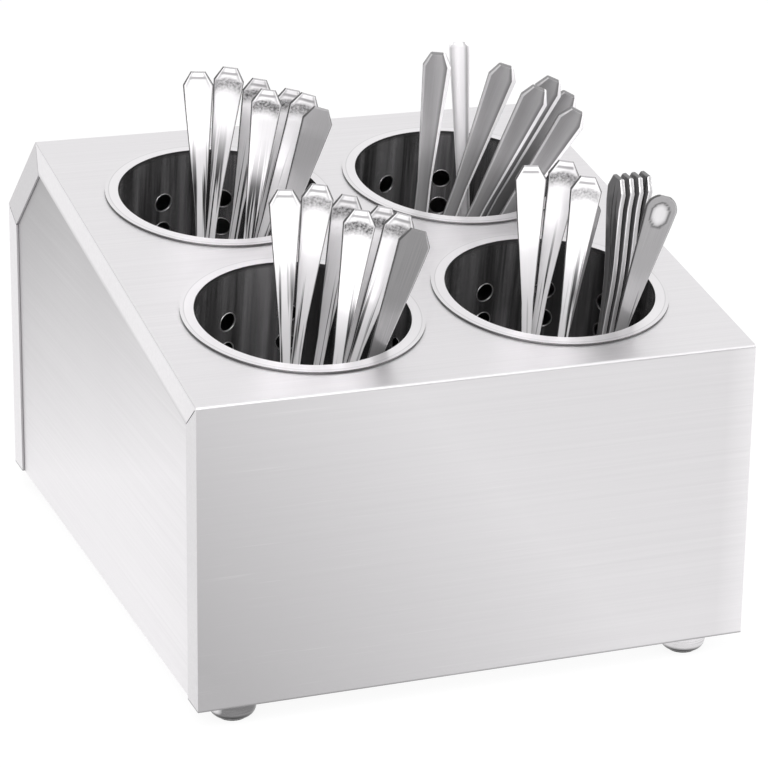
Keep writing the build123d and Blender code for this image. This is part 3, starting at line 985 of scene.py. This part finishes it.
# %% Spoons
BOWL_WIDTH, BOWL_LENGTH, BOWL_RIM, BOWL_DEPTH = 38.0, 60.0, 3.2, 5.4
BOWL_ROWS = 22
FIRST_BOWL_ROW = 0.05


def make_spoon(name, place, length, spot, face_shade, end):
    """A spoon with a dished bowl below. spot paints a darker reflection on its tip, and face_shade on the
    whole face.
    """
    bend = [(57, 2.2), (82, 1.8), (length * 0.68, -1.2)]
    bend += [(length - 14, 0.6), (length - 5, 0.6), (length, -0.9)]
    half_bowl = BOWL_LENGTH / 2
    rows = [half_bowl - half_bowl * math.cos(math.pi * k / BOWL_ROWS) for k in range(BOWL_ROWS + 1)]
    rows[0] = FIRST_BOWL_ROW
    rows += [64, 69, 74, 84, 95, 106, 117] + handle_rows(length)

    def edges(y):
        bowl = 0.0
        if y < BOWL_LENGTH:
            bowl = BOWL_WIDTH / 2 * math.sqrt(1 - (y / half_bowl - 1) ** 2)
        neck = handle_half(y, length, end=end)
        if 50 < y < 74:
            neck = NECK_HALF + NECK_HALF * ((74 - y) / 24) ** 2
        half_width = max(bowl, neck) if y > 50 else bowl
        return -half_width, half_width

    def faces(u, y):
        if y < BOWL_LENGTH:
            v = y / half_bowl - 1
            dish = BOWL_RIM - BOWL_DEPTH * ((1 - u * u) * (1 - v * v)) ** 0.8
            settle = max(0.0, (y - 52) / 8)
            top = dish * (1 - settle) + (line_through(bend, y) + 1) * settle
            return top, top - 1.3 - 0.7 * settle
        middle = line_through(bend, y)
        crown = 0.3 * (1 - u * u)
        bevel = BEVEL if abs(u) > OUTERMOST or y > length - LAST_ROW else 0.0
        return middle + 1 + crown - bevel, middle - 1 + bevel

    def marks(u, y):
        if y < BOWL_LENGTH + 8:
            return 0.25, 0.0, 0.4
        return painted_handle_marks(u, y, length, spot, face_shade)

    return plate(name, place, rows, HANDLE_COLUMNS, edges, faces, marks, cutlery_finish)


print("spoon bowl", BOWL_WIDTH, "by", BOWL_LENGTH, "mm")

# %% [markdown]
# Forks. Four tines curve forward from a flat head. The grid's columns are set on the sides of the
# gaps, so that leaving out the cells between them cuts the tines clean. One fork has a round
# end with a dished disc in it, which the marks ring with a rolled dark edge of painted
# reflection.

# %% Forks
HEAD_HALF, TINE_ROOT = 12, 40
HEAD_END, NECK_START = 46, 68
INNER, MIDDLE, OUTER = 1.4, 5.3, 8.1
TINE_GAPS = ((-OUTER, -MIDDLE), (-INNER, INNER), (MIDDLE, OUTER))
TINE_SIDES = [side / HEAD_HALF for side in (INNER, MIDDLE, OUTER)]
FORK_COLUMNS = both_sides(sorted([*TINE_SIDES, 0.28, 0.56, 0.86, 0.94, 1]))
FORK_ROWS = [0, 1.5, 4, 8, 14, 20, 26, 32, 37, 40, 43, 46, 49, 52, 56, 60, 64, 68, 78, 88, 98, 110]
DISC_HALF, DISC_DOWN = 0.62, 9


def make_fork(name, place, length, spot, face_shade, end):
    """A fork with four curved tines below. spot paints a darker reflection on its tip, and face_shade on
    the whole face.
    """
    bend = [(0, 0.8), (26, -2.2), (66, 2.2), (94, 1.4), (length * 0.74, -1.4)]
    bend += [(length - 14, 0.5), (length - 5, 0.5), (length, -0.9)]

    def from_disc(u, y):
        return math.hypot(u / DISC_HALF, (length - y - DISC_DOWN) / TIP_LENGTH)

    def edges(y):
        half_width = handle_half(y, length, end=end)
        if y < HEAD_END:
            half_width = HEAD_HALF - 0.8 * max(0.0, 1 - y / 4)
        elif y < NECK_START:
            half_width = HEAD_HALF + (NECK_HALF - HEAD_HALF) * ramp(y, HEAD_END, NECK_START)
        return -half_width, half_width

    def faces(u, y):
        middle = line_through(bend, y)
        thick = 1.0 if y > 12 else 0.45 + 0.55 * y / 12
        crown = 0.28 * (1 - u * u)
        if end == "round":
            crown -= 0.7 * (1 - ramp(from_disc(u, y), 0.7, 1.1))
        bevel = BEVEL if (abs(u) > OUTERMOST and y > 45) or y > length - LAST_ROW else 0.0
        return middle + thick + crown - bevel, middle - thick + bevel

    def empty(y, u0, u1):
        middle = (u0 + u1) / 2 * HEAD_HALF
        return y <= TINE_ROOT and any(low < middle < high for low, high in TINE_GAPS)

    def marks(u, y):
        if y < NECK_START:
            return 0.2, 0.0, 0.4
        # Painted reflection: a dark rolled ring round the dished disc.
        if end == "round" and abs(u) < 0.9 and y < length - 0.3:
            ring = from_disc(u, y)
            rolled = ramp(ring, 0.72, 0.9) * (1 - ramp(ring, 1.0, 1.2))
            dished = face_shade * (0.55 + 0.45 * ramp(ring, 0.5, 1.0))
            return max(dished, 0.9 * rolled), 0.0, ramp(length - y, *STREAKS_START)
        return painted_handle_marks(u, y, length, spot, face_shade)

    rows = FORK_ROWS + handle_rows(length)
    return plate(name, place, rows, FORK_COLUMNS, edges, faces, marks, cutlery_finish, empty)


print("fork tines", len(TINE_GAPS) + 1)

# %% [markdown]
# Knives. The blade is a thin wedge with a rounded point: a small arc on the side of its back and a
# long one on the side of its edge. The handle is thicker, with a flat face between bevels.
# Knives are satin, and their faces carry an even grey of painted reflection, with a painted
# highlight on the right bevel and one crisp dark painted line where it starts. Each arc below is
# the place of its centre, across and along, and its radius.

# %% Knives
BLADE_HALF, BLADE_END, HANDLE_STARTS = 9, 104, 112
BACK_ARC, EDGE_ARC = (1.406, 10.406, 10.5), (-14.99, 18.744, 24)
BACK_ARC_ENDS, EDGE_ARC_ENDS = 9, 18
KNIFE_COLUMNS = [-1, -0.97, -0.84, -0.8, -0.4, 0, 0.4, 0.7, 0.74, 0.97, 1]
KNIFE_ROWS = [0.05, 0.6, 1.8, 3.6, 6, 9, 12, 15, 18, 40, 70, 98, 104, 106, 108, 110, 112, 118]


def across_arc(arc, y):
    """How far an arc of the blade's point reaches to the side at a height, from its middle."""
    return math.sqrt(arc[2] ** 2 - (y - arc[1]) ** 2)


def make_knife(name, place, length, face_shade, bevel_shade, end):
    """A table knife: a blade with a round point below, and a thick handle with bevelled edges."""
    narrow, wide = (3.45, 6.9) if end != "square" else (3.2, 4.9)

    def edges(y):
        half_width = handle_half(y, length, narrow, wide, end, 62)
        if y < HANDLE_STARTS:
            half_width = BLADE_HALF + (narrow - BLADE_HALF) * ramp(y, BLADE_END, HANDLE_STARTS)
        left, right_edge = -half_width, half_width
        if y < BACK_ARC_ENDS:
            left = BACK_ARC[0] - across_arc(BACK_ARC, y)
        if y < EDGE_ARC_ENDS:
            right_edge = EDGE_ARC[0] + across_arc(EDGE_ARC, y)
        return left, right_edge

    def faces(u, y):
        if y < BLADE_END:
            thick = 0.7 - 0.5 * (u + 1) / 2
            return thick, -thick
        thick = 0.7 + 0.8 * min(1.0, (y - BLADE_END) / (HANDLE_STARTS - BLADE_END))
        thick += 0.4 * max(0.0, y - HANDLE_STARTS) / (length - HANDLE_STARTS)
        if end == "square":
            thick = max(0.4, thick * math.sqrt(1 - 0.85 * u * u))
        elif abs(u) > 0.96:
            thick -= 0.55
        if y > length - LAST_ROW:
            thick = max(0.3, thick - 0.5)
        return thick, -thick

    # Painted reflection: an even grey face, a painted highlight on the right bevel, and dark painted
    # lines where it starts, along the left edge and at the tip.
    def marks(u, y):
        streaked = ramp(length - y, 30, 60)
        if y < HANDLE_STARTS:
            return 0.3, 0.0, 0.5
        if end == "square":
            band = ramp(abs(u + 0.15), 0.55, 0.8) * (1 - ramp(abs(u), 0.82, 0.95))
            return 0.55 * band, 0.0, streaked
        if u > 0.72:
            return (0.5 if u > OUTERMOST else bevel_shade), 0.0, 0.0
        if u > 0.68:
            return 0.85, 0.0, 0.0
        if u < -OUTERMOST or y > length - 0.25:
            return 0.8, 0.0, 0.0
        if u < -0.82:
            return face_shade - 0.2, 0.0, 0.0
        return face_shade + 0.05 * math.sin(u * 3 + y * 0.05), 0.0, streaked

    rows = KNIFE_ROWS + handle_rows(length)
    return plate(name, place, rows, KNIFE_COLUMNS, edges, faces, marks, knife_finish)


print("knife blades are", 2 * BLADE_HALF, "mm wide")

# %% [markdown]
# Punched holes. A punch leaves a small rounded lip round each hole, and that lip catches light as
# a fine bright ring. Each lip is a small ring of four profile points, bent round the inside of
# the cup. The holes themselves are in the CAD cups already.

# %% Lip steel
def lip_steel():
    """The burnished lip of a punched hole: brighter than the wall round it."""
    material, tree, shader = new_material("burnished_lip", metallic=0.8)
    grain = grain_of(tree, (900, 900, 900))
    tone = blend(tree, grain["Clouds"], grey(0.25), grey(0.8))
    finish_surface(tree, shader, tone, grain, roughness=0.3, bump=0.1)
    return material


lip_finish = lip_steel()
print("finish", lip_finish.name)

# %% Lips round the punched holes
CUP_RADIUS, WALL, HOLE_RADIUS, HOLES_PER_ROW = 50.0, 0.8, 4.5, 10
HOLE_DEPTHS = (26.0, 41.5)
CUP_TURNS = {"front_left": 6.0, "front_right": -5.0, "back_left": -2.0, "back_right": 2.0}
LIP_PROFILE = ((-0.1, -0.35), (0.0, 0.1), (0.2, 0.14), (0.5, 0.02))
LIP_STEPS = 28


def hole_lips(name, rim, turned_by):
    """One mesh with a raised lip round every wall hole of a cup."""
    points, quads = [], []
    inner = CUP_RADIUS - WALL
    holes = [(depth, hole) for depth in HOLE_DEPTHS for hole in range(HOLES_PER_ROW)]
    for depth, hole in holes:
        middle = math.radians(turned_by + 360 / HOLES_PER_ROW * hole)
        first = len(points)
        for outwards, proud in LIP_PROFILE:
            reach = HOLE_RADIUS + outwards
            for k in range(LIP_STEPS):
                angle = 2 * math.pi * k / LIP_STEPS
                bearing = middle + math.asin(reach * math.cos(angle) / inner)
                place = ((inner - proud) * math.cos(bearing), (inner - proud) * math.sin(bearing))
                points.append(rim @ Vector((*place, reach * math.sin(angle) - depth)) * MM)
        for ring in range(len(LIP_PROFILE)):
            here, next_ring = (first + LIP_STEPS * (r % len(LIP_PROFILE)) for r in (ring, ring + 1))
            for k in range(LIP_STEPS):
                after = (k + 1) % LIP_STEPS
                quads.append((here + k, next_ring + k, next_ring + after, here + after))
    return new_piece(name, points, quads, lip_finish)


for place_name, turned_by in CUP_TURNS.items():
    column = -1 if "left" in place_name else 1
    row = 0 if "front" in place_name else 1
    lips = hole_lips(f"{place_name}_hole_lips", seat(column, row), turned_by)
    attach(lips, f"{place_name}_cylinder")
print("hole lips on", len(CUP_TURNS), "cups")

# %% [markdown]
# Feet. Each foot is turned on a lathe: a drum with a shallow groove round it and a rounded lower
# edge that tucks in to the rubber pad. A profile spun round an axis is the same idea in mesh
# code. The points on the axis fall on one another, so doubles are merged afterwards.
# Each pair below is a radius and a height, from the hole for the screw, over the outside, to
# the seat of the pad.

# %% Turn the feet
FOOT_PROFILE = (
    (0, 5.2), (2.75, 5.2), (2.75, 11.99), (10.6, 11.99), (10.8, 11.8), (10.8, 9.6), (10.55, 9.4),
    (10.55, 9.1), (10.8, 8.9), (10.8, 5.6), (10.65, 4.4), (10.25, 3.3), (9.6, 2.3), (8.8, 1.5),
    (7.9, 1.0), (6.95, 0.82), (6.75, 1.1), (6.75, 2.78), (0, 2.78),
)
FOOT_PLACES = [(x, y) for x in (-111.0, 111.0) for y in (-144.7, 144.7)]
FOOT_STEPS = 48
FOOT_CREASE = math.radians(40)


def turned_feet(name, finish):
    """All four feet as one mesh, each a profile spun round its own upright axis."""
    points, quads = [], []
    for x, y in FOOT_PLACES:
        first = len(points)
        for radius, height in FOOT_PROFILE:
            for k in range(FOOT_STEPS):
                angle = 2 * math.pi * k / FOOT_STEPS
                place = (x + radius * math.cos(angle), y + radius * math.sin(angle), height)
                points.append(Vector(place) * MM)
        for ring in range(len(FOOT_PROFILE) - 1):
            start = first + ring * FOOT_STEPS
            for k in range(FOOT_STEPS):
                a, b = start + k, start + (k + 1) % FOOT_STEPS
                quads.append((a, a + FOOT_STEPS, b + FOOT_STEPS, b))
    piece = new_piece(name, points, quads, finish)
    shape = bmesh.new()
    shape.from_mesh(piece.data)
    bmesh.ops.remove_doubles(shape, verts=shape.verts, dist=1e-6)
    bmesh.ops.recalc_face_normals(shape, faces=shape.faces)
    shape.to_mesh(piece.data)
    shape.free()
    piece.data.set_sharp_from_angle(angle=FOOT_CREASE)
    return piece


feet = turned_feet("turned_feet", foot_finish)
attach(feet, "casing")
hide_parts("feet")
print("feet turned at", FOOT_PLACES)

# %% [markdown]
# Laying the cutlery. In a real cup no two pieces stand alike: they fan out and lean on the rim.
# Each row below gives the layer the piece stands in, where its foot is, how far it leans, its
# length, how dark its spot and its face are painted, as painted reflection, and the shape of its
# end. A knife has the painted shades of its face and its right bevel in place of those two. The
# same places are in the CAD model, so each fine piece takes the place of its plain solid.

# %% Where each piece stands
BUNCH_TURN = -20
SPOON_TOE, KNIFE_TOE, FORK_TOE = 2.0, 0.3, 12.0
SPOONS = [
    (-29.0, 3.5, 12.6, 200, 0.10, 0.82, "clipped"), (-21.5, 9.0, 3.7, 200, 0.80, 0.0, "clipped"),
    (-14.0, -3.5, 12.8, 200, 0.70, 0.0, "clipped"), (-6.5, 0.5, -3.5, 200, 0.05, 0.0, "clipped"),
    (1.0, -8.0, 3.2, 200, 0.65, 0.0, "clipped"), (8.5, 6.5, 8.1, 189, 0.80, 0.1, "clipped"),
    (16.0, -1.0, 5.5, 189, 0.75, 0.1, "clipped"),
]
BACK_SPOONS = [(-29.0, 3.5, 12.6, 200, 0.10, 0.66, "clipped"), *SPOONS[1:]]
FORKS = [
    (-26.0, 9.0, 10.2, 200, 0.45, 0.72, "round"), (-14.0, 2.5, 2.2, 200, 0.55, 0.0, "clipped"),
    (-6.5, -1.0, -4.1, 200, 0.10, 0.0, "clipped"), (1.0, -11.5, 3.6, 200, 0.70, 0.05, "clipped"),
    (8.5, 4.0, 3.0, 180, 0.60, 0.68, "clipped"),
]
KNIVES = [
    (-20.0, -33.0, 25.8, 204, 0.68, 0.05, "clipped"), (-14.5, -33.0, 20.0, 204, 0.70, 0.05, "clipped"),
    (-9.5, -17.0, 1.0, 204, 0.70, 0.0, "clipped"), (-4.5, -29.0, 14.0, 204, 0.68, 0.0, "clipped"),
    (0.5, -28.5, 21.0, 204, 0.70, 0.1, "clipped"), (8.0, 19.5, -6.3, 204, 0.03, 0.0, "square"),
    (13.0, -28.5, 25.0, 196, 0.72, 0.1, "clipped"),
]
print("bunches of", len(SPOONS), len(BACK_SPOONS), len(KNIVES), len(FORKS))

# %% Lay the bunches
def lay(kind, make, cup, rows, toe, shift=(0, 0)):
    """Makes one bunch, each piece on the body of its own CAD node, and hides that node."""
    for number, (layer, foot, lean, length, *looks) in enumerate(rows, 1):
        node = f"{kind}_{number}"
        place = standing(cup, BUNCH_TURN, layer + shift[0], foot + shift[1], lean, toe)
        piece = make(f"{node}_polished", place, length, *looks)
        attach(piece, node)
        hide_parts(node)


BACK_SHIFT = (5.0, -2.0)
lay("front_left_spoon", make_spoon, seat(-1, 0), SPOONS, SPOON_TOE)
lay("back_left_spoon", make_spoon, seat(-1, 1), BACK_SPOONS, SPOON_TOE, BACK_SHIFT)
lay("knife", make_knife, seat(1, 1), KNIVES, KNIFE_TOE)
lay("fork", make_fork, seat(1, 0), FORKS, FORK_TOE)
print("bunches laid")

# %% [markdown]
# The stacked forks. Four forks of one pattern nest in one another beside the bunch. They are
# alike, so a loop lays them, layer after layer, each tipped a little more. They ride on one
# body, because a hand lifts them out together.

# %% Stack four forks
STACK_SIZE, STACK_PITCH, STACK_FAN = 4, 2.4, -0.7
STACK_TURN, STACK_LAYER, STACK_FOOT, STACK_LEAN = -86, 25, 14, -2

for number in range(STACK_SIZE):
    node = f"stacked_fork_{number + 1}"
    layer = STACK_LAYER + STACK_PITCH * number
    fan = STACK_FAN * number
    place = standing(seat(1, 0), STACK_TURN, layer, STACK_FOOT, STACK_LEAN, FORK_TOE, fan)
    # face_shade paints them dark all over, a painted reflection of the gaps they nest in.
    piece = make_fork(f"{node}_polished", place, length=193, spot=0.6, face_shade=0.86, end="clipped")
    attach(piece, "fork_stack")
    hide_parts(node)
print("stacked", STACK_SIZE, "forks")

# %% [markdown]
# A check on sizes. A fine piece should be no larger than the solid that it stands for, within a
# millimetre, so each one is measured against its CAD box. The view is set to Standard, which
# shows colours as they are written.

# %% Measure the cutlery against the CAD
worst = (0.0, "")
for piece in [o for o in bpy.data.objects if o.name.endswith("_polished")]:
    low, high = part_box(piece.name.removesuffix("_polished"))
    for axis in range(3):
        reach = [v.co[axis] for v in piece.data.vertices]
        worst = max(worst, (low[axis] - min(reach), piece.name), (max(reach) - high[axis], piece.name))
print("cutlery reaches at most", round(worst[0] / MM, 2), "mm outside its CAD boxes:", worst[1])

# %% Set the view
bpy.context.scene.view_settings.view_transform = "Standard"
